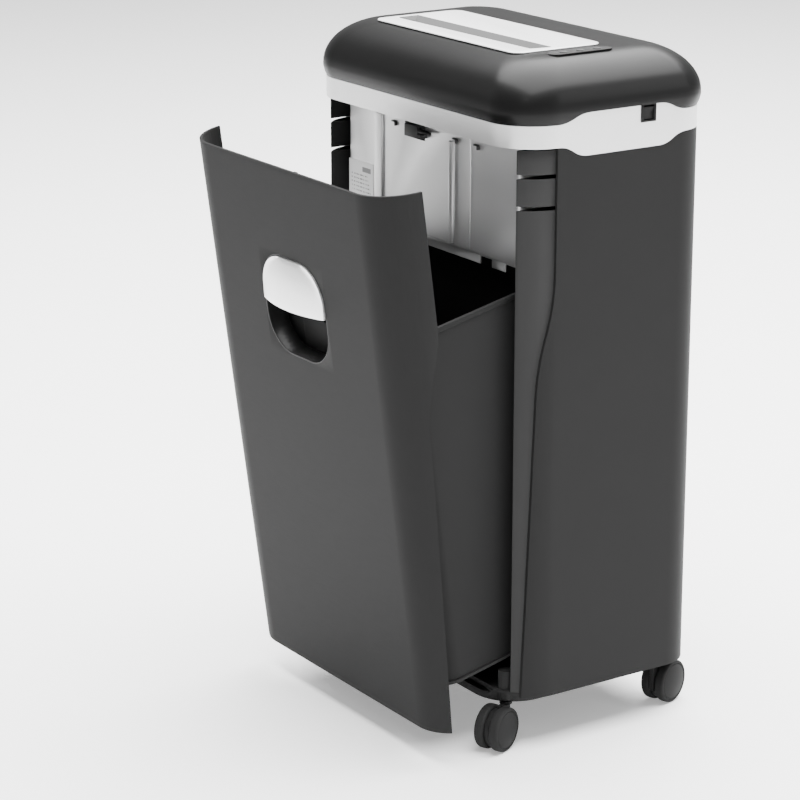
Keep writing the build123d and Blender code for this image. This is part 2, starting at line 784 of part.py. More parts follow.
def waste_bin():
    shell_plan = plan(bin_half, bin_front, bin_rear, bin_corner, bin_corner)
    inner_plan = plan(bin_half - bin_wall, bin_front + bin_wall, bin_rear - bin_wall,
                      bin_corner - bin_wall, bin_corner - bin_wall)
    rim_plan = plan(bin_half + rim_out, bin_front - rim_out, bin_rear + rim_out,
                    bin_corner + rim_out, bin_corner + rim_out)
    body = slab(shell_plan, 60, 560) & bin_slice(bin_low, bin_high, -130, 130)
    body += slab(rim_plan, 60, 560) & bin_slice(bin_high - rim_tall, bin_high, -130, 130)
    body -= slab(inner_plan, 60, 560) & bin_slice(bin_low + bin_wall, bin_high + 20, -130, 130)
    pad = box(-pad_half, pad_half, bin_front - pad_proud, bin_front + 1, pad_low, pad_high)
    pad = fillet(pad.edges().filter_by(Axis.Y), 8)
    return opened(body + pad)


def bin_carrier():
    tray_plan = plan(bin_half + carrier_lip, bin_front - carrier_lip, bin_rear + carrier_lip,
                     bin_corner + carrier_lip, bin_corner + carrier_lip)
    tray = slab(tray_plan, 60, 560) & bin_slice(bin_low - carrier_thick, bin_low, -130, 130)
    upright = -base_front + 0.5
    tray += box(-100, 100, upright, bin_front - carrier_lip + 8, bin_low - 4, bin_low - 1)
    tray += box(-100, 100, upright, upright + 3, bin_low - 4, bin_low + 40)
    for side in (-1, 1):
        tray -= rod_y(side * 70, 124, screw_radius, -125, -80)
        x = side * bracket_x
        leg = side_profile([(heel_y - 30, 104), (heel_y - 8, heel_z - 7), (heel_y + 8, heel_z - 7),
                            (heel_y + 30, 106)], [(heel_y - 8, heel_z - 7, 5), (heel_y + 8, heel_z - 7, 5)],
                           x - bracket_thick / 2, x + bracket_thick / 2)
        leg -= slab(tray_plan, 60, 560) & bin_slice(bin_low - carrier_thick / 2, bin_low + 60, -130, 130)
        tray += leg - rod_x(heel_y, heel_z, heel_axle_radius + run_fit, x - 9, x + 9)
    return opened(tray)


def door_screws():
    screws = [screw_y(side * 70, 124, -base_front + 3.5, 8.5, -1) for side in (-1, 1)]
    return opened(Compound(screws))


def heel_axle():
    end = roller_x + roller_thick / 2 + 1.5
    axle = rod_x(heel_y, heel_z, heel_axle_radius, -end + 1.5, end - 1.5)
    return opened(axle + rod_x(heel_y, heel_z, 2.5, -end, end))


def heel_rollers():
    rollers = []
    for side in (-1, 1):
        x = side * roller_x
        roller = rod_x(heel_y, heel_z, roller_radius, x - roller_thick / 2, x + roller_thick / 2)
        rollers.append(opened(roller - rod_x(heel_y, heel_z, heel_axle_radius + run_fit, x - 20, x + 20)))
    return Compound(rollers)


# ---------------------------------------------------------------- casters
def caster_place(name):
    x, y, heading = casters[name]
    return Pos(x, y, 0) * Rot(0, 0, heading)


def caster_hood(name):
    """Stem, collar, web and axle pin. The trail runs along the local X axis."""
    r = wheel_radius
    t = web_thick / 2
    web = Pos(trail, 0, r) * Rot(90, 0, 0) * Cylinder(r - 3, web_thick)
    web += box(-5, trail - 2, -t, t, r - 6, collar_bottom + 1)
    hood = web + rod_z(0, 0, collar_radius, collar_bottom, collar_top)
    hood += rod_z(0, 0, stem_radius, collar_bottom, stem_top)
    reach = t + wheel_gap + wheel_thick - 1
    hood += rod_y(trail, r, axle_radius, -reach, reach)
    return caster_place(name) * hood


def caster_wheels(name):
    wheels = []
    inner = web_thick / 2 + wheel_gap
    for side in (-1, 1):
        y0, y1 = sorted((side * inner, side * (inner + wheel_thick)))
        wheel = rod_y(trail, wheel_radius, wheel_radius, y0, y1)
        wheel = fillet(wheel.edges().sort_by(Axis.Y)[-1 if side > 0 else 0], 2.5)
        depth_in = inner + wheel_thick - 0.8
        hole = rod_y(trail, wheel_radius, axle_radius + run_fit, *sorted((0, side * depth_in)))
        wheels.append(caster_place(name) * (wheel - hole))
    return Compound(wheels)


# ---------------------------------------------------------------- fasteners
def cabinet_screws():
    return Compound([screw_y(x, z, rear, 14, -1) for x, z in rear_screw_spots()])


# ---------------------------------------------------------------- assembly
def assembly():
    pieces = {
        "base_tray": base_tray(),
        "caster_sockets": caster_sockets(),
        "side_panel_right": side_panel(1),
        "side_panel_left": side_panel(-1),
        "rear_panel": rear_panel(),
        "cord_gland": cord_gland(),
        "front_pillar_right": front_pillar(1),
        "front_pillar_left": front_pillar(-1),
        "trim_band": trim_band(),
        "top_cover": top_cover(),
        "feed_plate": feed_plate(),
        "throat_guide": throat_guide(),
        "control_bezel": control_bezel(),
        "key_reverse": control_key(0),
        "key_power": control_key(1),
        "key_forward": control_key(2),
        "control_board": control_board(),
        "rocker_frame": rocker_frame(),
        "power_rocker": power_rocker(),
        "head_deck": head_deck(),
        "cutter_housing": cutter_housing(),
        "rating_label": rating_label(),
        "interlock_switch": interlock_switch(),
        "interlock_lever": interlock_lever(),
        "frame_plate_right": frame_plate(1),
        "frame_plate_left": frame_plate(-1),
        "frame_rods": frame_rods(),
        "shaft_bushes": shaft_bushes(),
        "stripper_combs": stripper_combs(),
        "cutter_shaft_rear": cutter_shaft(rear_shaft_y, gear_b[0] - 1, plate_x + 14),
        "cutter_discs_rear": cutter_discs(rear_shaft_y, disc_count + 1),
        "cutter_gears_rear": cutter_gears_rear(),
        "cutter_shaft_front": cutter_shaft(front_shaft_y, -plate_x - 3, plate_x + 14),
        "cutter_discs_front": cutter_discs(front_shaft_y, disc_count),
        "sync_gear_front": sync_gear_front(),
        "idler_gear": idler_gear(),
        "motor": motor(),
        "motor_shaft": motor_shaft(),
        "motor_pinion": motor_pinion(),
        "door_panel": door_panel(),
        "handle_cup": handle_cup(),
        "handle_grip": handle_grip(),
        "waste_bin": waste_bin(),
        "bin_carrier": bin_carrier(),
        "door_screws": door_screws(),
        "heel_axle": heel_axle(),
        "heel_rollers": heel_rollers(),
        "cabinet_screws": cabinet_screws(),
    }
    for name in casters:
        pieces["caster_hood_" + name] = caster_hood(name)
        pieces["caster_wheels_" + name] = caster_wheels(name)
    return pieces


os.makedirs("parts", exist_ok=True)
for node, shape in assembly().items():
    export_step(shape, "parts/" + node + ".step")
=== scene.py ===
"""Paper shredder with a pull-out waste bin: the looks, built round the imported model."""

import json
import logging
from dataclasses import dataclass, field
from enum import Enum
from math import cos, pi, radians, sin
from typing import Iterable, Sequence

import bmesh
import bpy
from mathutils import Matrix, Vector


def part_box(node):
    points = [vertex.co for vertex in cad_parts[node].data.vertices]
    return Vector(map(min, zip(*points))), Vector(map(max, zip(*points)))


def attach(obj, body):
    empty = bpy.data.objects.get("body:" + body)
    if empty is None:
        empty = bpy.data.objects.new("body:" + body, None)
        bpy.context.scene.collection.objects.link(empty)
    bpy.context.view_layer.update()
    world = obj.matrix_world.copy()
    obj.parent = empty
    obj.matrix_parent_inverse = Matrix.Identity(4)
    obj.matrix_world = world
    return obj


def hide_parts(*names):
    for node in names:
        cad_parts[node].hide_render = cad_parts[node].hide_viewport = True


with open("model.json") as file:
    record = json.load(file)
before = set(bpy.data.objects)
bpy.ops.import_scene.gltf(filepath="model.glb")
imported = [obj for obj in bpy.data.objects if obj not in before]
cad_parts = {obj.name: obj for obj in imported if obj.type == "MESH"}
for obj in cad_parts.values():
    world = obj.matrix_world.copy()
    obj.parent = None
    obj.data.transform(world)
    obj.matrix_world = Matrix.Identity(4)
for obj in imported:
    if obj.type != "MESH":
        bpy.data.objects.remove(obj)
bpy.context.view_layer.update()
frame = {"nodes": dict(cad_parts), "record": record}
MM = 0.001
log = logging.getLogger("shredder")


# ------------------------------------------------------------------ shader maths
class Sock:
    """A node socket that can be used in Python expressions."""

    def __init__(self, shader: "Shader", socket: bpy.types.NodeSocket) -> None:
        """Keeps the socket and the shader that it belongs to."""
        self.shader = shader
        self.socket = socket

    def _math(self, kind: str, first: object, second: object = 0.0) -> "Sock":
        """Adds one Math node.

        Args:
            kind: the node's operation.
            first: a Sock or a number.
            second: a Sock or a number.
        Returns:
            The node's result.
        """
        return self.shader.node("ShaderNodeMath", {"operation": kind}, {0: first, 1: second})

    def __add__(self, other: object) -> "Sock":
        """self + other."""
        return self._math("ADD", self, other)

    __radd__ = __add__

    def __sub__(self, other: object) -> "Sock":
        """self - other."""
        return self._math("SUBTRACT", self, other)

    def __rsub__(self, other: object) -> "Sock":
        """other - self."""
        return self._math("SUBTRACT", other, self)

    def __mul__(self, other: object) -> "Sock":
        """self * other."""
        return self._math("MULTIPLY", self, other)

    __rmul__ = __mul__

    def __truediv__(self, other: object) -> "Sock":
        """self / other."""
        return self._math("DIVIDE", self, other)

    def __gt__(self, other: object) -> "Sock":
        """1 where self is larger than other."""
        return self._math("GREATER_THAN", self, other)

    def __lt__(self, other: object) -> "Sock":
        """1 where self is smaller than other."""
        return self._math("LESS_THAN", self, other)

    def clamp(self) -> "Sock":
        """self held between 0 and 1."""
        return self._math("MINIMUM", self._math("MAXIMUM", self, 0.0), 1.0)

    def fract(self) -> "Sock":
        """Fractional part."""
        return self._math("FRACT", self)


class Shader:
    """One procedural material under construction."""

    def __init__(self, name: str) -> None:
        """Makes an empty material with its shader and its output."""
        self.material = bpy.data.materials.new("finish_" + name)
        self.material.use_nodes = True
        self.tree = self.material.node_tree
        self.tree.nodes.clear()
        self.output = self.tree.nodes.new("ShaderNodeOutputMaterial")
        self.surface = self.tree.nodes.new("ShaderNodeBsdfPrincipled")
        self.tree.links.new(self.surface.outputs[0], self.output.inputs[0])

    def node(self, kind: str, settings: dict, values: dict, out: object = 0) -> Sock:
        """Adds any node.

        Args:
            kind: the node's type.
            settings: attributes set before anything is linked.
            values: input name or number to a Sock, number or colour.
            out: name or number of the output.
        Returns:
            The chosen output.
        """
        made = self.tree.nodes.new(kind)
        for key, value in settings.items():
            setattr(made, key, value)
        for key, value in values.items():
            self._feed(made.inputs[key], value)
        return Sock(self, made.outputs[out])

    def _feed(self, socket: bpy.types.NodeSocket, value: object) -> None:
        """Links or sets one input.

        Args:
            socket: the input.
            value: a Sock to link, or a number or colour to set.
        """
        if isinstance(value, Sock):
            self.tree.links.new(value.socket, socket)
        elif isinstance(value, (tuple, list)) and len(value) == 3 and socket.type == "RGBA":
            socket.default_value = (*value, 1)
        else:
            socket.default_value = value

    def place(self, scale: Sequence[float] = (1, 1, 1)) -> Sock:
        """Object coordinates through a Mapping node that stretches them."""
        coords = self.node("ShaderNodeTexCoord", {}, {}, "Object")
        return self.node("ShaderNodeMapping", {}, {"Vector": coords, "Scale": scale})

    def axes(self) -> tuple[Sock, Sock, Sock]:
        """Object X, Y and Z as numbers, in metres."""
        coords = self.node("ShaderNodeTexCoord", {}, {}, "Object")
        split = self.node("ShaderNodeSeparateXYZ", {}, {0: coords})
        outputs = split.socket.node.outputs
        return Sock(self, outputs[0]), Sock(self, outputs[1]), Sock(self, outputs[2])

    def noise(self, scale: float, detail: float = 2.0, rough: float = 0.5,
              stretch: Sequence[float] = (1, 1, 1)) -> Sock:
        """Noise value from 0 to 1, at so many features a metre."""
        values = {"Vector": self.place(stretch), "Scale": scale, "Detail": detail, "Roughness": rough}
        return self.node("ShaderNodeTexNoise", {}, values)

    def cells(self, scale: float) -> Sock:
        """Distance to the nearest cell point, for grain."""
        return self.node("ShaderNodeTexVoronoi", {}, {"Vector": self.place(), "Scale": scale})

    def mix(self, factor: object, first: object, second: object) -> Sock:
        """Mixes two colours."""
        values = {0: factor, 6: first, 7: second}
        return self.node("ShaderNodeMix", {"data_type": "RGBA"}, values, 2)

    def bump(self, height: Sock, strength: float, distance: float) -> Sock:
        """Bump from a height, with its distance in metres."""
        return self.node("ShaderNodeBump", {}, {"Height": height, "Strength": strength, "Distance": distance})

    def finish(self, **sockets: object) -> bpy.types.Material:
        """Feeds the shader's sockets.

        Args:
            **sockets: input names, with their spaces written as underscores, and their values.
        Returns:
            The material.
        """
        for name, value in sockets.items():
            self._feed(self.surface.inputs[name.replace("_", " ")], value)
        return self.material


Colour = tuple[float, float, float]


def grey(value: float) -> Colour:
    """Neutral colour of one linear value."""
    return (value, value, value)


@dataclass(frozen=True)
class Moulded:
    """Moulded plastic with a fine spark-eroded grain."""

    name: str
    colour: Colour
    roughness: float = 0.42
    grain: float = 2600.0
    depth: float = 0.00005
    spread: float = 0.08
    shine: float = 0.035

    def make(self) -> bpy.types.Material:
        """Builds the material.

        Returns:
            The material.
        """
        s = Shader(self.name)
        cloud = s.noise(7, 3)
        fine = s.noise(self.grain, 2, 0.6)
        dark = tuple(c * (1 - self.spread) for c in self.colour)
        light = tuple(c * (1 + self.spread) for c in self.colour)
        scuff = s.noise(60, 4, 0.7, (1, 1, 6))
        return s.finish(
            Base_Color=s.mix(cloud * 0.7 + fine * 0.3, dark, light),
            Roughness=(self.roughness + (scuff - 0.5) * 0.10 + (fine - 0.5) * 0.10).clamp(),
            Normal=s.bump(fine, 0.35, self.depth),
            Specular_IOR_Level=self.shine)


@dataclass(frozen=True)
class Gloss:
    """Polished plastic with a faint waviness and light handling haze."""

    name: str
    colour: Colour
    roughness: float = 0.36
    coat: float = 0.03

    def make(self) -> bpy.types.Material:
        """Builds the material.

        Returns:
            The material.
        """
        s = Shader(self.name)
        wave = s.noise(34, 2)
        haze = s.noise(11, 4, 0.65)
        hair = s.noise(420, 2, 0.5, (1, 14, 1))
        light = tuple(c * 1.35 for c in self.colour)
        return s.finish(
            Base_Color=s.mix(haze, self.colour, light),
            Roughness=(self.roughness + (haze - 0.5) * 0.10 + (hair > 0.72) * 0.03).clamp(),
            Normal=s.bump(wave, 0.25, 0.00035),
            Coat_Weight=self.coat,
            Coat_Roughness=0.12,
            Specular_IOR_Level=0.12)


@dataclass(frozen=True)
class SilverPaint:
    """Silver lacquer with fine flakes."""

    name: str
    colour: Colour
    metal: float = 0.55
    roughness: float = 0.36

    def make(self) -> bpy.types.Material:
        """Builds the material.

        Returns:
            The material.
        """
        s = Shader(self.name)
        flake = s.cells(4200)
        cloud = s.noise(9, 3)
        dark = tuple(c * 0.93 for c in self.colour)
        light = tuple(min(1.0, c * 1.05) for c in self.colour)
        return s.finish(
            Base_Color=s.mix(cloud * 0.6 + flake * 0.5, dark, light),
            Metallic=self.metal,
            Roughness=(self.roughness + (flake - 0.4) * 0.16).clamp(),
            Normal=s.bump(flake, 0.12, 0.00002),
            Coat_Weight=0.25)


@dataclass(frozen=True)
class Metal:
    """Machined or rolled metal with a brushed direction along X."""

    name: str
    colour: Colour
    roughness: float = 0.3
    brushed: Sequence[float] = (1, 30, 30)

    def make(self) -> bpy.types.Material:
        """Builds the material.

        Returns:
            The material.
        """
        s = Shader(self.name)
        streak = s.noise(70, 3, 0.6, self.brushed)
        stain = s.noise(22, 4, 0.6)
        dark = tuple(c * 0.78 for c in self.colour)
        return s.finish(
            Base_Color=s.mix(streak * 0.5 + stain * 0.5, dark, self.colour),
            Metallic=1.0,
            Roughness=(self.roughness + (streak - 0.5) * 0.18).clamp(),
            Normal=s.bump(streak, 0.2, 0.00004))


@dataclass(frozen=True)
class SheetSilverPaintedShade:
    """Silver sheet with painted shade: its colour darkens from its top towards its foot, for the shade that
    falls on its lower part.
    """

    name: str
    top: Colour
    shaded_foot: Colour
    low: float
    high: float

    def make(self) -> bpy.types.Material:
        """Builds the material.

        Returns:
            The material.
        """
        s = Shader(self.name)
        _, _, z = s.axes()
        # painted shade: the colour runs from the lit top colour down to the darker foot colour between the
        # two heights
        painted_shade_rise = ((z - self.low) / (self.high - self.low)).clamp()
        streak = s.noise(46, 3, 0.6, (14, 14, 1))
        tone = s.mix(painted_shade_rise, self.shaded_foot, self.top)
        shade = s.mix((streak * 0.5 + 0.1).clamp(), tone, (0.36, 0.36, 0.36))
        return s.finish(
            Base_Color=s.mix(0.10, tone, shade),
            Metallic=0.70,
            Roughness=(0.34 + (streak - 0.5) * 0.06).clamp(),
            Normal=s.bump(s.noise(2400, 2, 0.6), 0.10, 0.00002))


@dataclass(frozen=True)
class Printed:
    """Foil label with generic rows of small marks."""

    name: str
    left: float
    low: float
    wide: float
    tall: float

    def make(self) -> bpy.types.Material:
        """Builds the material.

        Returns:
            The material.
        """
        s = Shader(self.name)
        x, _, z = s.axes()
        u = (x - self.left) / self.wide
        v = (z - self.low) / self.tall
        rows = (v * 9).fract()
        text = s.noise(1400, 1, 0.4, (1, 1, 0.02)) > 0.5
        inside = (u > 0.08) * (u < 0.92) * (v > 0.08) * (v < 0.92)
        bars = (rows > 0.35) * (rows < 0.7) * text * inside * (u + v * 0.3 < 0.95)
        block = (u > 0.55) * (u < 0.9) * (v > 0.72) * (v < 0.86)
        ink = (bars * (v < 0.68) + block).clamp()
        return s.finish(
            Base_Color=s.mix(ink, grey(0.62), grey(0.16)),
            Roughness=(0.34 + ink * 0.2 + (s.noise(300) - 0.5) * 0.1).clamp())


@dataclass(frozen=True)
class Board:
    """Circuit board lacquer with copper tracks."""

    name: str
    colour: Colour

    def make(self) -> bpy.types.Material:
        """Builds the material.

        Returns:
            The material.
        """
        s = Shader(self.name)
        tracks = s.noise(240, 1, 0.3, (1, 3, 1)) > 0.56
        light = tuple(c * 2.2 for c in self.colour)
        return s.finish(
            Base_Color=s.mix(tracks, self.colour, light),
            Roughness=(0.3 + tracks * 0.1).clamp(),
            Normal=s.bump(tracks, 0.3, 0.00003))


MADE: dict[str, bpy.types.Material] = {}


class Finish(Enum):
    """Every finish on the shredder, named by the record's material slot."""

    CHARCOAL = Moulded("charcoal", grey(0.016), 0.48)
    BASE = Moulded("base_black", grey(0.020), 0.5)
    PILLAR = Moulded("pillar_black", grey(0.030), 0.40)
    BIN = Moulded("bin_black", grey(0.016), 0.50)
    SILVER = SilverPaint("silver_trim", grey(0.78), 0.8, 0.30)
    FEED = SilverPaint("feed_silver", grey(0.80), 0.25, 0.34)
    # painted shade: the housing and the head deck darken towards their foot between z 0.50 and 0.60
    HOUSING = SheetSilverPaintedShade("housing_silver", grey(0.72), grey(0.26), 0.50, 0.60)
    GLOSS = Gloss("gloss_black", grey(0.004))
    STRIP = Gloss("gloss_black", grey(0.02), 0.42)
    THROAT = Moulded("throat_grey", grey(0.13), 0.42, 1800)
    KEY = Moulded("key_grey", grey(0.07), 0.35, 3000)
    SWITCH = Moulded("switch_black", grey(0.016), 0.32, 2400)
    BOARD = Board("board_green", (0.012, 0.07, 0.03))
    LABEL = Printed("label_white", -0.150, 0.514, 0.046, 0.038)
    STEEL = Metal("steel", grey(0.56))
    CUTTER = Metal("cutter_steel", grey(0.42), 0.36, (30, 1, 1))
    BRONZE = Metal("bronze", (0.55, 0.40, 0.20), 0.34)
    NYLON = Moulded("gear_white", (0.72, 0.71, 0.66), 0.4, 1500)
    MOTOR = Metal("motor_grey", grey(0.22), 0.42)
    RUBBER = Moulded("rubber_black", grey(0.018), 0.62, 1500, 0.0001)
    CASTER = Moulded("caster_black", grey(0.014), 0.36)
    WHEEL = Moulded("caster_grey", grey(0.014), 0.44)

    def material(self) -> bpy.types.Material:
        """The material, made the first time that it is asked for."""
        if self.name not in MADE:
            MADE[self.name] = self.value.make()
        return MADE[self.name]


def dress(piece: bpy.types.Object, finish: Finish) -> None:
    """Puts one finish on every slot of a piece.

    Args:
        piece: the piece.
        finish: its finish.
    """
    material = finish.material()
    if not piece.material_slots:
        piece.data.materials.append(material)
    for slot in piece.material_slots:
        slot.material = material


# ------------------------------------------------------------------ mesh tools
Loop = Sequence[tuple[float, float]]


def corner_arc(centre: tuple[float, float], radius: float, start: float, stop: float, steps: int) -> list:
    """Points of an arc.

    Args:
        centre: its centre.
        radius: its radius.
        start: first angle, in degrees.
        stop: last angle, in degrees.
        steps: number of stretches.
    Returns:
        Its points.
    """
    cx, cy = centre
    angles = [radians(start + (stop - start) * i / steps) for i in range(steps + 1)]
    return [(cx + radius * cos(a), cy + radius * sin(a)) for a in angles]


def extruded(loop: Loop, axis: str, low: float, high: float) -> bmesh.types.BMesh:
    """Solid from a flat outline, stretched along an axis.

    Args:
        loop: outline in the two other axes, in their X, Y, Z order.
        axis: "x", "y" or "z".
        low: start along the axis.
        high: end along the axis.
    Returns:
        A closed solid.
    """
    def lift(a: float, b: float) -> Vector:
        """A point of the outline, at the low end of the axis."""
        return Vector({"x": (low, a, b), "y": (a, low, b), "z": (a, b, low)}[axis])

    bm = bmesh.new()
    face = bm.faces.new([bm.verts.new(lift(a, b)) for a, b in loop])
    grown = bmesh.ops.extrude_face_region(bm, geom=[face])["geom"]
    step = Vector({"x": (1, 0, 0), "y": (0, 1, 0), "z": (0, 0, 1)}[axis]) * (high - low)
    bmesh.ops.translate(bm, vec=step, verts=[g for g in grown if isinstance(g, bmesh.types.BMVert)])
    bmesh.ops.recalc_face_normals(bm, faces=bm.faces)
    return bm


def block(low: Sequence[float], high: Sequence[float], round_by: float = 0.0,
          steps: int = 3) -> bmesh.types.BMesh:
    """Box between two corners.

    Args:
        low: its lowest corner.
        high: its highest corner.
        round_by: rounding of its edges, or 0 for sharp ones.
        steps: segments of that rounding.
    Returns:
        A closed solid.
    """
    bm = bmesh.new()
    bmesh.ops.create_cube(bm, size=1)
    size = Vector(high) - Vector(low)
    bmesh.ops.scale(bm, vec=size, verts=bm.verts)
    bmesh.ops.translate(bm, vec=(Vector(high) + Vector(low)) / 2, verts=bm.verts)
    if round_by:
        bmesh.ops.bevel(bm, geom=bm.edges[:], offset=round_by, segments=steps, profile=0.5,
                        affect="EDGES", material=-1)
    return bm


def turned(profile: Loop, centre: Sequence[float], axis: Vector, steps: int = 64) -> bmesh.types.BMesh:
    """Solid of revolution.

    Args:
        profile: (distance along the axis, radius) pairs, from one end to the other.
        centre: where distance 0 lies.
        axis: direction of the axis.
        steps: faces round the circle.
    Returns:
        A closed solid.
    """
    bm = bmesh.new()
    verts = [bm.verts.new((r, 0, d)) for d, r in profile]
    edges = [bm.edges.new(pair) for pair in zip(verts, verts[1:])]
    bmesh.ops.spin(bm, geom=verts + edges, cent=(0, 0, 0), axis=(0, 0, 1), angle=2 * pi, steps=steps,
                   use_merge=True)
    bmesh.ops.remove_doubles(bm, verts=bm.verts, dist=1e-6)
    holes = [e for e in bm.edges if e.is_boundary]
    if holes:
        bmesh.ops.holes_fill(bm, edges=holes, sides=0)
    bmesh.ops.recalc_face_normals(bm, faces=bm.faces)
    turn = Vector((0, 0, 1)).rotation_difference(axis).to_matrix().to_4x4()
    bmesh.ops.transform(bm, matrix=Matrix.Translation(Vector(centre)) @ turn, verts=bm.verts)
    return bm


def joined(*parts: bmesh.types.BMesh) -> bmesh.types.BMesh:
    """Puts separate closed solids into one mesh.

    Args:
        *parts: the solids, which are freed.
    Returns:
        One mesh that holds them all.
    """
    whole = bmesh.new()
    for part in parts:
        mesh = bpy.data.meshes.new("part")
        part.to_mesh(mesh)
        part.free()
        whole.from_mesh(mesh)
        bpy.data.meshes.remove(mesh)
    return whole


class Cut(Enum):
    """How one solid shapes another."""

    OFF = "DIFFERENCE"
    KEEP = "INTERSECT"
    ADD = "UNION"


def carve(base: bmesh.types.BMesh, *cuts: tuple[Cut, bmesh.types.BMesh]) -> bmesh.types.BMesh:
    """Shapes a solid with others, one after the other.

    Args:
        base: the solid to shape, which is freed.
        cuts: pairs of how, and the shaping solid, which is freed.
    Returns:
        The new solid.
    """
    helpers = []

    def hold(bm: bmesh.types.BMesh, name: str) -> bpy.types.Object:
        """Puts a mesh, which is freed, into a helper object.

        Args:
            bm: the mesh.
            name: the helper's name.
        Returns:
            The helper.
        """
        mesh = bpy.data.meshes.new(name)
        bm.to_mesh(mesh)
        bm.free()
        holder = bpy.data.objects.new(name, mesh)
        bpy.context.scene.collection.objects.link(holder)
        helpers.append(holder)
        return holder

    work = hold(base, "work")
    for how, bm in cuts:
        modifier = work.modifiers.new("cut", "BOOLEAN")
        modifier.operation = how.value
        modifier.solver = "EXACT"
        modifier.object = hold(bm, "tool")
    bpy.context.view_layer.update()
    mesh = bpy.data.meshes.new_from_object(work.evaluated_get(bpy.context.evaluated_depsgraph_get()))
    result = bmesh.new()
    result.from_mesh(mesh)
    bmesh.ops.remove_doubles(result, verts=result.verts, dist=1e-6)
    bpy.data.meshes.remove(mesh)
    for helper in helpers:
        data = helper.data
        bpy.data.objects.remove(helper)
        bpy.data.meshes.remove(data)
    return result


Plane = tuple[Sequence[float], Sequence[float]]


def scored(bm: bmesh.types.BMesh, planes: Iterable[Plane]) -> bmesh.types.BMesh:
    """Cuts a mesh along planes, so that the wide flats between them keep their own normals.

    Args:
        bm: the mesh.
        planes: pairs of a point and a direction.
    Returns:
        The same mesh.
    """
    for spot, facing in planes:
        bmesh.ops.bisect_plane(bm, geom=bm.verts[:] + bm.edges[:] + bm.faces[:], plane_co=spot,
                               plane_no=facing, dist=1e-6)
    return bm


def make_piece(name: str, bm: bmesh.types.BMesh, body: str, finish: Finish, replaced: Sequence[str] = (),
               edge: float = 0.0005, steps: int = 2, sharp: float = 32.0) -> bpy.types.Object:
    """Turns a mesh into a finished piece of the shredder.

    Args:
        name: the piece's name.
        bm: its mesh, in metres in the shared frame, which is freed.
        body: the body that it rides on.
        finish: its finish.
        replaced: CAD nodes that it stands for.
        edge: width of the rounding on its sharp edges, in metres.
        steps: segments of that rounding.
        sharp: angle above which an edge counts as sharp, in degrees.
    Returns:
        The piece.
    """
    mesh = bpy.data.meshes.new(name)
    bmesh.ops.dissolve_degenerate(bm, dist=1e-6, edges=bm.edges)
    bm.to_mesh(mesh)
    bm.free()
    piece = bpy.data.objects.new(name, mesh)
    bpy.context.scene.collection.objects.link(piece)
    mesh.shade_smooth()
    if edge:
        bevel = piece.modifiers.new("edges", "BEVEL")
        bevel.width = edge
        bevel.segments = steps
        bevel.limit_method = "ANGLE"
        bevel.angle_limit = radians(sharp)
        bevel.harden_normals = True
        bevel.use_clamp_overlap = True
    else:
        mesh.set_sharp_from_angle(angle=radians(sharp))
    dress(piece, finish)
    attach(piece, body)
    if replaced:
        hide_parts(*replaced)
    log.info("%s: %d faces on %s", name, len(mesh.polygons), body)
    return piece


def softened(node: str, body: str, finish: Finish, edge: float = 0.0005, steps: int = 2,
             planes: Iterable[Plane] = ()) -> bpy.types.Object:
    """Stands in for a CAD node with a merged copy whose sharp edges are rounded.

    Args:
        node: the CAD node.
        body: the body that it rides on.
        finish: its finish.
        edge: width of the rounding, in metres.
        steps: segments of the rounding.
        planes: where its wide flats are scored.
    Returns:
        The piece.
    """
    bm = bmesh.new()
    bm.from_mesh(frame["nodes"][node].data)
    bmesh.ops.remove_doubles(bm, verts=bm.verts, dist=2e-6)
    bmesh.ops.dissolve_limit(bm, angle_limit=radians(0.4), use_dissolve_boundaries=False,
                             verts=bm.verts, edges=bm.edges, delimit={"NORMAL"})
    return make_piece(node + "_soft", scored(bm, planes), body, finish, [node], edge, steps)


# ------------------------------------------------------------------ places shared by the sub-assemblies
def joint(name: str) -> dict:
    """The record's joint of that name."""
    joints = frame["record"]["behaviour"]["joints"]
    return next(j for j in joints if j["name"] == name)


def span(node: str) -> tuple[Vector, Vector]:
    """Lowest and highest corner of a CAD node."""
    low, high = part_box(node)
    return Vector(low), Vector(high)


def opening_move() -> Matrix:
    """The move from the closed bin unit to the open stop, where the frame stands at rest.

    Returns:
        A rigid move in the shared frame.
    """
    pull = -joint("bin_pull")["range_m"][0]
    hinge = joint("bin_tilt")
    tilt = radians(-hinge["range_deg"][0])
    heel = Vector(hinge["pos_m"])
    closed = heel + Vector((0, pull, 0))
    return Matrix.Translation(heel) @ Matrix.Rotation(tilt, 4, "X") @ Matrix.Translation(-closed)


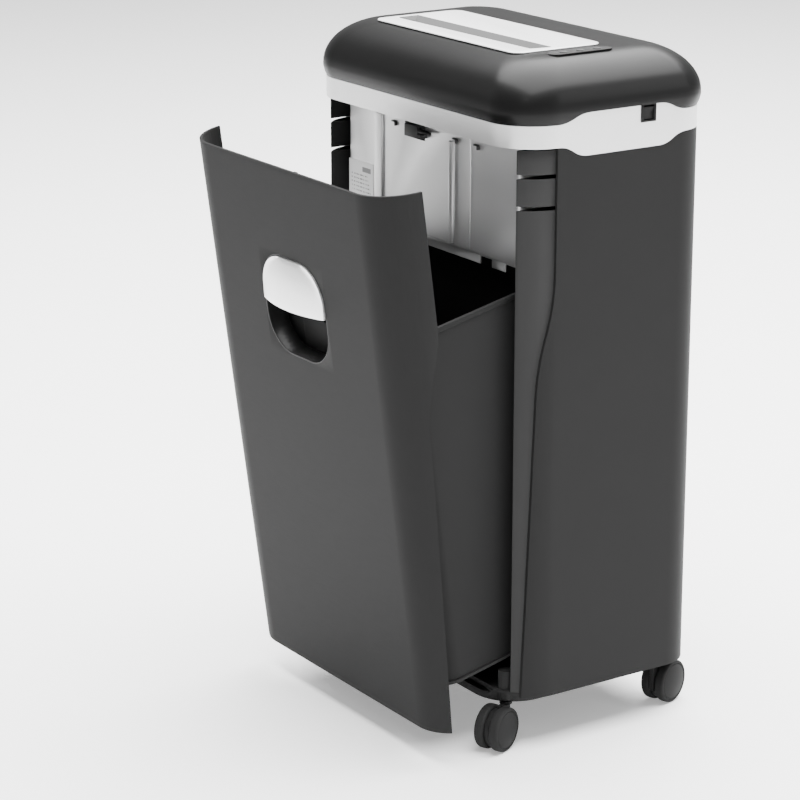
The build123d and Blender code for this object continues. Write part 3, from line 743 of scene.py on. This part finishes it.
@dataclass
class Cabinet:
    """Sizes of the cabinet's outline, and the covers that follow it."""

    front_corner: float = 49 * MM
    rear_corner: float = 40 * MM
    wall: float = 3 * MM
    trim_wall: float = 2.5 * MM
    seam: float = 0.4 * MM
    edge_top_y: float = -72 * MM
    edge_bend_z: float = 470 * MM
    edge_knee_y: float = -89 * MM
    edge_knee_z: float = 400 * MM
    edge_foot_y: float = -100 * MM
    badge_front: float = -45 * MM
    badge_rear: float = 59 * MM
    badge_slope: float = 17 * MM
    badge_step: float = 10 * MM
    flange_wide: float = 17 * MM
    flange_thick: float = 3 * MM
    panel_flat_front: float = -67 * MM
    panel_flat_top: float = 595 * MM
    bulge: float = 2.6 * MM
    roll_across: float = 52 * MM
    roll_down: float = 46 * MM
    feed_step: float = 4.7 * MM
    rear_columns: Sequence[float] = (88 * MM, 130 * MM, 145 * MM)
    rear_rows: Sequence[float] = (110 * MM, 505 * MM, 608 * MM)
    steps: int = 20
    half: float = field(init=False)
    front: float = field(init=False)
    rear: float = field(init=False)
    bottom: float = field(init=False)
    panel_top: float = field(init=False)
    band_top: float = field(init=False)
    top: float = field(init=False)

    def __post_init__(self) -> None:
        """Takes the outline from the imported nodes."""
        low, high = span("trim_band")
        self.half, self.front, self.rear = high.x, low.y, high.y
        panel_low, panel_high = span("side_panel_right")
        self.bottom = panel_low.z
        self.panel_top = panel_high.z + self.seam
        self.band_top = self.panel_top + 22 * MM
        self.top = span("top_cover")[1].z

    def outline(self, inset: float) -> list:
        """Plan of the cabinet, counter-clockwise from the front right.

        Args:
            inset: how far in from the outer face.
        Returns:
            Its points.
        """
        fr = max(self.front_corner - inset, 0.001)
        rr = max(self.rear_corner - inset, 0.001)
        x, y0, y1 = self.half - inset, self.front + inset, self.rear - inset
        n = self.steps
        return (corner_arc((x - fr, y0 + fr), fr, -90, 0, n) + corner_arc((x - rr, y1 - rr), rr, 0, 90, n)
                + corner_arc((-x + rr, y1 - rr), rr, 90, 180, n)
                + corner_arc((-x + fr, y0 + fr), fr, 180, 270, n))

    def ring(self, outer: float, inner: float, low: float, high: float) -> bmesh.types.BMesh:
        """Upright wall that follows the cabinet's plan.

        Args:
            outer: inset of its outer face.
            inner: inset of its inner face.
            low: its lower end.
            high: its upper end.
        Returns:
            A closed solid.
        """
        core = extruded(self.outline(inner), "z", low - 0.01, high + 0.01)
        return carve(extruded(self.outline(outer), "z", low, high), (Cut.OFF, core))

    def badge(self, grow: float) -> list:
        """Side view of the band with its six-sided field.

        Args:
            grow: margin added above and below.
        Returns:
            Its points.
        """
        low, high = self.panel_top - grow, self.band_top + grow
        step, slope = self.badge_step, self.badge_slope
        a, b = self.badge_front, self.badge_rear
        lower = [(a - slope, low), (a, low - step - MM), (b, low - step - MM), (b + slope, low)]
        upper = [(b + slope, high), (b, high + step - MM), (a, high + step - MM), (a - slope, high)]
        near, far = self.front - 0.01, self.rear + 0.01
        return ([(near, low)] + self.eased(lower, 9 * MM) + [(far, low), (far, high)]
                + self.eased(upper, 9 * MM) + [(near, high)])

    def eased(self, corners: Loop, reach: float) -> list:
        """Rounds the corners and ends of an open chain with short curves.

        Args:
            corners: the chain.
            reach: how far from a corner its curve starts.
        Returns:
            The rounded chain.
        """
        points = []
        chain = [Vector(c) for c in corners]
        before = chain[0] + Vector((-1 if chain[1].x > chain[0].x else 1, 0)) * 0.02
        after = chain[-1] + Vector((1 if chain[-1].x > chain[-2].x else -1, 0)) * 0.02
        padded = [before] + chain + [after]
        for last, here, then in zip(padded, padded[1:], padded[2:]):
            a = here + (last - here).normalized() * reach
            b = here + (then - here).normalized() * reach
            for i in range(6):
                t = i / 5
                spot = a * (1 - t) ** 2 + here * 2 * t * (1 - t) + b * t ** 2
                points.append((spot.x, spot.y))
        return points

    def edge(self, shift: float, high: float) -> list:
        """Front edge of the side panel in the side view, from the top down.

        Args:
            shift: how far forward it moves.
            high: height of its top end.
        Returns:
            Its points.
        """
        knots = [Vector((self.edge_top_y - shift, high)), Vector((self.edge_top_y - shift, self.edge_bend_z)),
                 Vector((self.edge_knee_y - shift, self.edge_knee_z)),
                 Vector((self.edge_foot_y - shift, self.bottom - 0.02))]
        points = [tuple(knots[0])]
        for last, here, then, reach in zip(knots, knots[1:], knots[2:], (0.028, 0.030)):
            a = here + (last - here).normalized() * reach
            b = here + (then - here).normalized() * reach
            for i in range(9):
                t = i / 8
                points.append(tuple(a * (1 - t) ** 2 + here * 2 * t * (1 - t) + b * t ** 2))
        return points + [tuple(knots[3])]

    def build(self) -> None:
        """Makes the covers."""
        self.side_panels()
        self.band()
        self.cover()
        self.pillars()
        columns = [((side * x, 0, 0), (1, 0, 0)) for side in (-1, 1) for x in self.rear_columns]
        rows = [((0, 0, z), (0, 0, 1)) for z in (self.bottom + 4 * MM, *self.rear_rows)]
        softened("rear_panel", "cabinet", Finish.CHARCOAL, 0.0006, 2, columns + rows)
        softened("base_tray", "cabinet", Finish.BASE, 0.0006)

    def side_panels(self) -> None:
        """The two side panels with their rear flanges."""
        for name, side in (("side_panel_right", 1), ("side_panel_left", -1)):
            shell = self.ring(0, self.wall, self.bottom, self.panel_top)
            view = self.edge(0, 0.7) + [(self.rear + 0.01, self.bottom - 0.02), (self.rear + 0.01, 0.7)]
            low, high = sorted((0.0, side * (self.half + 0.01)))
            flat = self.half - self.rear_corner
            strip = block((-flat, self.rear - self.wall - MM, 0), (flat, self.rear + MM, 1))
            shell = carve(shell, (Cut.KEEP, extruded(view, "x", low, high)),
                          (Cut.OFF, extruded(self.badge(self.seam), "x", -0.3, 0.3)), (Cut.OFF, strip))
            inner = sorted((side * (flat - self.flange_wide), side * (flat + 1 * MM)))
            flange = block((inner[0], self.rear - self.wall - self.flange_thick, self.bottom),
                           (inner[1], self.rear - self.wall, self.panel_top - self.seam))
            rear_flat = self.rear - self.rear_corner - 1.5 * MM
            planes = [((0, y, 0), (0, 1, 0)) for y in (self.panel_flat_front, rear_flat)]
            planes += [((0, 0, z), (0, 0, 1)) for z in (self.bottom + 4 * MM, self.panel_flat_top)]
            shell = scored(shell, planes)
            make_piece(name + "_shell", joined(shell, flange), "cabinet", Finish.CHARCOAL, [name], 0.0007, 3)

    def band(self) -> None:
        """The silver band."""
        shell = self.ring(0, self.trim_wall, self.panel_top - 0.02, self.band_top + 0.02)
        shell = carve(shell, (Cut.KEEP, extruded(self.badge(0), "x", -0.3, 0.3)),
                      (Cut.OFF, self.rocker_cut()))
        make_piece("trim_band_shell", shell, "cabinet", Finish.SILVER, ["trim_band"], 0.0006, 3)

    def rocker_cut(self) -> bmesh.types.BMesh:
        """Block that clears the rocker's frame.

        Returns:
            A closed solid.
        """
        low, high = span("rocker_frame")
        grow = Vector((0.004, 0, 0))
        return block(low + Vector((0, MM, MM)), high - Vector((0, MM, MM)) + grow)

    def cover(self) -> None:
        """The soft-edged top cover."""
        outer = self.soft_cap(0, self.top, self.roll_across, self.roll_down)
        inner = self.soft_cap(self.wall, self.top - self.wall, self.roll_across - self.wall,
                              self.roll_down - self.wall)
        feed_low, feed_high = span("feed_plate")
        step = self.feed_step
        mouth = block((feed_low.x + step, feed_low.y + step, self.top - 0.03),
                      (feed_high.x - step, feed_high.y - step, self.top + 0.01))
        key_low, key_high = span("control_bezel")
        strip = block((key_low.x + 2 * MM, key_low.y + 4 * MM, self.top - 0.03),
                      (key_high.x - 2 * MM, key_high.y - 4 * MM, self.top + 0.01))
        shell = carve(outer, (Cut.OFF, inner), (Cut.OFF, extruded(self.badge(self.seam), "x", -0.3, 0.3)),
                      (Cut.OFF, mouth), (Cut.OFF, strip), (Cut.OFF, self.rocker_cut()))
        make_piece("top_cover_shell", shell, "cabinet", Finish.GLOSS, ["top_cover"], 0.0006, 2, 40)

    def soft_cap(self, inset: float, top: float, across: float, down: float) -> bmesh.types.BMesh:
        """Closed cap whose top edge rolls over in an ellipse.

        Args:
            inset: how far inside the cabinet's plan it lies.
            top: height of its top.
            across: the roll's reach in the plan.
            down: the roll's reach down the side.
        Returns:
            A closed solid.
        """
        low = self.band_top + self.seam
        base_ring = [Vector(p) for p in self.outline(inset)]
        bm = bmesh.new()
        face = bm.faces.new([bm.verts.new((p.x, p.y, low - inset * 4)) for p in base_ring])
        rolls = [(0.0, low), (-1.5 * MM, low + 4 * MM), (-self.bulge, low + 10 * MM),
                 (-self.bulge, top - down)]
        turns = 16
        for i in range(1, turns + 1):
            a = pi / 2 * i / turns
            rolls.append((across * (1 - cos(a)) - self.bulge, top - down + down * sin(a)))
        middle = Vector((0, (self.front + self.rear) / 2))
        half = Vector((self.half - inset, (self.rear - self.front) / 2 - inset))
        for reach, height in rolls:
            grown = bmesh.ops.extrude_discrete_faces(bm, faces=[face])["faces"]
            face = grown[0]
            ring = [loop.vert for loop in face.loops]
            for vert in ring:
                vert.co.z = height
            self.shrink(ring, middle, half, reach)
        bmesh.ops.recalc_face_normals(bm, faces=bm.faces)
        return bm

    def shrink(self, ring: Sequence[bmesh.types.BMVert], middle: Vector, half: Vector, reach: float) -> None:
        """Moves a ring of vertices in so that its box is smaller by reach on each side.

        Args:
            ring: the vertices.
            middle: centre of the plan.
            half: half sizes of the plan before the move.
            reach: how far in, or out where it is negative.
        """
        width = max(v.co.x for v in ring)
        depth = max(v.co.y for v in ring) - middle.y
        for vert in ring:
            vert.co.x *= (half.x - reach) / width
            vert.co.y = middle.y + (vert.co.y - middle.y) * (half.y - reach) / depth

    def pillars(self) -> None:
        """The two dark pillars behind the door's wrap."""
        for side in ("right", "left"):
            softened("front_pillar_" + side, "cabinet", Finish.PILLAR, 0.0006)


@dataclass
class Head:
    """The cutting head's housing and what shows on it."""

    hook_places: Sequence[float] = (-62 * MM, 47 * MM, 84 * MM)
    hook_z: float = 606 * MM
    switch_low: Sequence[float] = (-0.037, -0.0985, 0.5955)
    switch_high: Sequence[float] = (-0.0105, -0.0905, 0.6085)

    def build(self) -> None:
        """Makes the housing's visible pieces."""
        self.housing()
        softened("head_deck", "cabinet", Finish.HOUSING, 0.0005)
        self.switch()
        softened("interlock_lever", "safety_lever", Finish.SWITCH, 0.0003)
        dress(frame["nodes"]["rating_label"], Finish.LABEL)

    def housing(self) -> None:
        """Folded sheet housing, whose ribs end in small dark hooks."""
        softened("cutter_housing", "cabinet", Finish.HOUSING, 0.0012, 3)
        front = span("cutter_housing")[0].y
        hooks = []
        for x in self.hook_places:
            hooks.append(block((x - 5 * MM, front + 1.5 * MM, self.hook_z - 1.6 * MM),
                               (x + 2 * MM, front + 5 * MM, self.hook_z), 0.4 * MM))
            hooks.append(block((x + 1 * MM, front + 1 * MM, self.hook_z - 5 * MM),
                               (x + 3 * MM, front + 5 * MM, self.hook_z - 1 * MM), 0.5 * MM))
        make_piece("housing_hooks", joined(*hooks), "cabinet", Finish.KEY, edge=0)

    def switch(self) -> None:
        """Small switch block with a chamfered nose beside its lever."""
        body = block(self.switch_low, self.switch_high, 0.8 * MM)
        nose = block((self.switch_high[0] - 2 * MM, self.switch_low[1] + 1.5 * MM, 0.597),
                     (self.switch_high[0] + 5 * MM, self.switch_high[1], 0.6005), 0.5 * MM)
        make_piece("interlock_switch_block", joined(body, nose), "cabinet", Finish.KEY, ["interlock_switch"],
                   edge=0)


@dataclass
class Controls:
    """Feed plate, key strip and power rocker."""

    lift: float = 0.25 * MM

    def build(self) -> None:
        """Makes the controls."""
        softened("feed_plate", "cabinet", Finish.FEED, 0.0007, 3)
        self.funnel()
        softened("throat_guide", "cabinet", Finish.SWITCH, 0.0004)
        softened("control_bezel", "cabinet", Finish.STRIP, 0.0004)
        for key in ("key_reverse", "key_power", "key_forward"):
            softened(key, key, Finish.KEY, 0.0003)
        softened("rocker_frame", "cabinet", Finish.SWITCH, 0.0005)
        softened("power_rocker", "rocker", Finish.SWITCH, 0.0005)

    def funnel(self) -> None:
        """Grey lining on the sloping walls of the feed slot."""
        bm = bmesh.new()
        bm.from_mesh(frame["nodes"]["feed_plate"].data)
        bmesh.ops.remove_doubles(bm, verts=bm.verts, dist=2e-6)
        low, high = span("feed_plate")
        bm.normal_update()
        others = [f for f in bm.faces if not self.sloping(f, low, high)]
        bmesh.ops.delete(bm, geom=others, context="FACES")
        shifts = {v: v.normal.copy() for v in bm.verts}
        for vert, normal in shifts.items():
            vert.co += normal * self.lift
        bmesh.ops.solidify(bm, geom=bm.faces[:], thickness=-0.15 * MM)
        make_piece("slot_lining", bm, "cabinet", Finish.THROAT, edge=0)

    def sloping(self, face: bmesh.types.BMFace, low: Vector, high: Vector) -> bool:
        """Tells a wall of the funnel from the plate's other faces.

        Args:
            face: a face of the feed plate.
            low: the plate's lowest corner.
            high: the plate's highest corner.
        Returns:
            True for a wall of the funnel.
        """
        spot = face.calc_center_median()
        inside = low.x + 4 * MM < spot.x < high.x - 4 * MM and low.y + 8 * MM < spot.y < high.y - 30 * MM
        return inside and 0.15 < face.normal.z < 0.98


@dataclass
class BinUnit:
    """Door, handle, bin and carrier, drawn closed and carried to the open stop."""

    cabinet: Cabinet
    grip_bow: float = 9 * MM
    grip_half: float = 58 * MM
    grip_foot: float = 471 * MM
    grip_tall: float = 52 * MM
    grip_columns: int = 12
    grip_rows: int = 6
    grip_row_step: float = 7.5 * MM
    door_rows: Sequence[float] = (61 * MM, 415.4 * MM, 524.6 * MM, 610 * MM)

    def build(self) -> None:
        """Makes the bin unit."""
        move = opening_move()
        flat = self.cabinet.half - self.cabinet.front_corner - 1.5 * MM
        spots = [((side * flat, 0, 0), (1, 0, 0)) for side in (-1, 1)]
        spots += [((side * (self.grip_half + 1.6 * MM), 0, 0), (1, 0, 0)) for side in (-1, 1)]
        spots += [((0, 0, z), (0, 0, 1)) for z in self.door_rows]
        planes = [(move @ Vector(spot), move.to_3x3() @ Vector(facing)) for spot, facing in spots]
        softened("door_panel", "bin_unit", Finish.CHARCOAL, 0.0009, 3, planes)
        softened("handle_cup", "bin_unit", Finish.GLOSS, 0.0006, 3)
        self.grip()
        softened("waste_bin", "bin_unit", Finish.BIN, 0.0009, 3)
        softened("bin_carrier", "bin_unit", Finish.BASE, 0.0005)

    def grip(self) -> None:
        """The silver pull, bowed forwards between its ends."""
        bm = bmesh.new()
        bm.from_mesh(frame["nodes"]["handle_grip"].data)
        bmesh.ops.remove_doubles(bm, verts=bm.verts, dist=2e-6)
        bmesh.ops.transform(bm, matrix=opening_move().inverted(), verts=bm.verts)
        count = self.grip_columns
        columns = [((i * self.grip_half / count, 0, 0), (1, 0, 0)) for i in range(1 - count, count)]
        levels = [self.grip_foot + i * self.grip_row_step for i in range(1, self.grip_rows + 1)]
        scored(bm, columns + [((0, 0, z), (0, 0, 1)) for z in levels])
        for vert in bm.verts:
            across = vert.co.x / self.grip_half
            up = max(0.0, (vert.co.z - self.grip_foot) / self.grip_tall)
            vert.co.y -= self.grip_bow * max(0.0, 1 - across ** 2 - up ** 2)
        bmesh.ops.transform(bm, matrix=opening_move(), verts=bm.verts)
        make_piece("handle_pull", bm, "bin_unit", Finish.SILVER, ["handle_grip"], 0.0009, 3, 40)


@dataclass
class Casters:
    """Four twin-wheel casters with domed discs."""

    places: Sequence[str] = ("front_right", "front_left", "rear_right", "rear_left")
    radius: float = 23 * MM
    inner: float = 3.2 * MM
    thick: float = 10.5 * MM
    rod: float = 2.5 * MM
    dome: float = 2.2 * MM
    tread_round: float = 2.6 * MM

    def build(self) -> None:
        """Makes every caster."""
        for place in self.places:
            softened("caster_hood_" + place, "swivel_" + place, Finish.CASTER, 0.0006, 3)
            roll = joint("roll_" + place)
            centre, axle = Vector(roll["pos_m"]), Vector(roll["axis"])
            rims = [turned(self.rim(), centre, axle * side) for side in (-1, 1)]
            reach, thin = self.inner + MM, self.rod
            rod = turned([(-reach, 0), (-reach, thin), (reach, thin), (reach, 0)], centre, axle, 24)
            make_piece("caster_tyres_" + place, joined(*rims, rod), "wheels_" + place, Finish.RUBBER,
                       ["caster_wheels_" + place], edge=0, sharp=40)
            discs = [turned(self.disc(), centre, axle * side) for side in (-1, 1)]
            make_piece("caster_discs_" + place, joined(*discs), "wheels_" + place, Finish.WHEEL,
                       edge=0, sharp=50)

    def rim(self) -> list:
        """Half section of a tyre.

        Returns:
            (distance, radius) pairs from its inner face to its outer face.
        """
        end, r, turn = self.inner + self.thick, self.radius, self.tread_round
        angles = [pi / 8 * i for i in range(5)]
        near = [(self.inner + turn * (1 - cos(a)), r - turn * (1 - sin(a))) for a in angles]
        far = [(end - turn * (1 - sin(a)), r - turn * (1 - cos(a))) for a in angles]
        return [(self.inner, 0)] + near + far + [(end, r - 3.4 * MM), (end - 0.8 * MM, r - 3.8 * MM),
                                                 (end - 0.8 * MM, 0)]

    def disc(self) -> list:
        """Half section of the domed cover on a wheel's outer face.

        Returns:
            (distance, radius) pairs from its hidden face outwards.
        """
        start, edge = self.inner + self.thick - 1.2 * MM, self.radius - 4.2 * MM
        dome = [(start + 1.0 * MM + self.dome * (1 - (i / 8) ** 2), edge * i / 8) for i in range(8, -1, -1)]
        return [(start, 0), (start, edge)] + dome


@dataclass
class Insides:
    """CAD nodes that keep their own shape and only take a finish."""

    finishes: dict = field(default_factory=lambda: {
        "steel": Finish.STEEL, "cutter_steel": Finish.CUTTER, "bronze": Finish.BRONZE,
        "gear_white": Finish.NYLON, "motor_grey": Finish.MOTOR, "board_green": Finish.BOARD,
        "rubber_black": Finish.RUBBER, "throat_grey": Finish.THROAT, "charcoal": Finish.CHARCOAL})

    def build(self) -> None:
        """Dresses every CAD node by its slot in the record."""
        for part in frame["record"]["subparts"]:
            finish = self.finishes.get(part["material_slot"])
            if finish:
                dress(frame["nodes"][part["node"]], finish)


@dataclass
class Studio:
    """Camera, floor and lights."""

    azimuth: float = radians(56.49)
    elevation: float = radians(16.79)
    distance: float = 2.98044
    lens: float = 128.06
    aim: Sequence[float] = (-0.0588, -0.0889, 0.309)
    sky: float = 0.45
    glow: float = 0.35
    lamps: Sequence[tuple] = (("top", (-0.2, 0.7, 3.1), (-0.2, 0.5, 0), 4.4, 900),
                              ("front", (-2.4, -2.4, 1.9), (0, -0.1, 0.4), 1.4, 5),
                              ("side", (2.6, 2.3, 1.8), (0, 0, 0.4), 1.4, 22),
                              ("corner", (2.3, -2.4, 2.9), (0, 0, 0.62), 0.5, 8))

    def build(self) -> None:
        """Makes the studio."""
        self.camera()
        self.floor()
        for lamp in self.lamps:
            self.lamp(*lamp)
        world = bpy.data.worlds.new("studio")
        world.use_nodes = True
        world.node_tree.nodes["Background"].inputs[0].default_value = (1, 1, 1, 1)
        world.node_tree.nodes["Background"].inputs[1].default_value = self.sky
        bpy.context.scene.world = world

    def camera(self) -> None:
        """The camera on the sphere round its aim."""
        away = Vector((sin(self.azimuth) * cos(self.elevation), -cos(self.azimuth) * cos(self.elevation),
                       sin(self.elevation)))
        data = bpy.data.cameras.new("camera")
        data.lens = self.lens
        data.sensor_width = 36
        eye = bpy.data.objects.new("camera", data)
        eye.location = Vector(self.aim) + away * self.distance
        eye.rotation_euler = away.to_track_quat("Z", "Y").to_euler()
        bpy.context.scene.collection.objects.link(eye)
        bpy.context.scene.camera = eye

    def floor(self) -> None:
        """A large pale floor."""
        bm = bmesh.new()
        bmesh.ops.create_grid(bm, x_segments=1, y_segments=1, size=12)
        mesh = bpy.data.meshes.new("floor")
        bm.to_mesh(mesh)
        bm.free()
        floor = bpy.data.objects.new("floor", mesh)
        bpy.context.scene.collection.objects.link(floor)
        s = Shader("pale_floor")
        tone = s.mix(s.noise(3, 3), grey(0.90), grey(0.93))
        mesh.materials.append(s.finish(Base_Color=tone, Roughness=0.75, Specular_IOR_Level=0.2,
                                       Emission_Color=grey(1.0), Emission_Strength=self.glow))

    def lamp(self, name: str, place: Sequence[float], aim: Sequence[float], size: float,
             power: float) -> None:
        """Makes one soft square light.

        Args:
            name: its name.
            place: where it hangs.
            aim: what it points at.
            size: its side, in metres.
            power: its power, in watts.
        """
        data = bpy.data.lights.new(name, "AREA")
        data.size = size
        data.energy = power
        lamp = bpy.data.objects.new(name, data)
        lamp.location = place
        lamp.rotation_euler = (Vector(place) - Vector(aim)).to_track_quat("Z", "Y").to_euler()
        bpy.context.scene.collection.objects.link(lamp)


def main() -> None:
    """Builds every sub-assembly and the studio."""
    logging.basicConfig(level=logging.INFO, format="%(message)s")
    cabinet = Cabinet()
    cabinet.build()
    Head().build()
    Controls().build()
    BinUnit(cabinet).build()
    Casters().build()
    Insides().build()
    Studio().build()


if __name__ == "__main__":
    main()
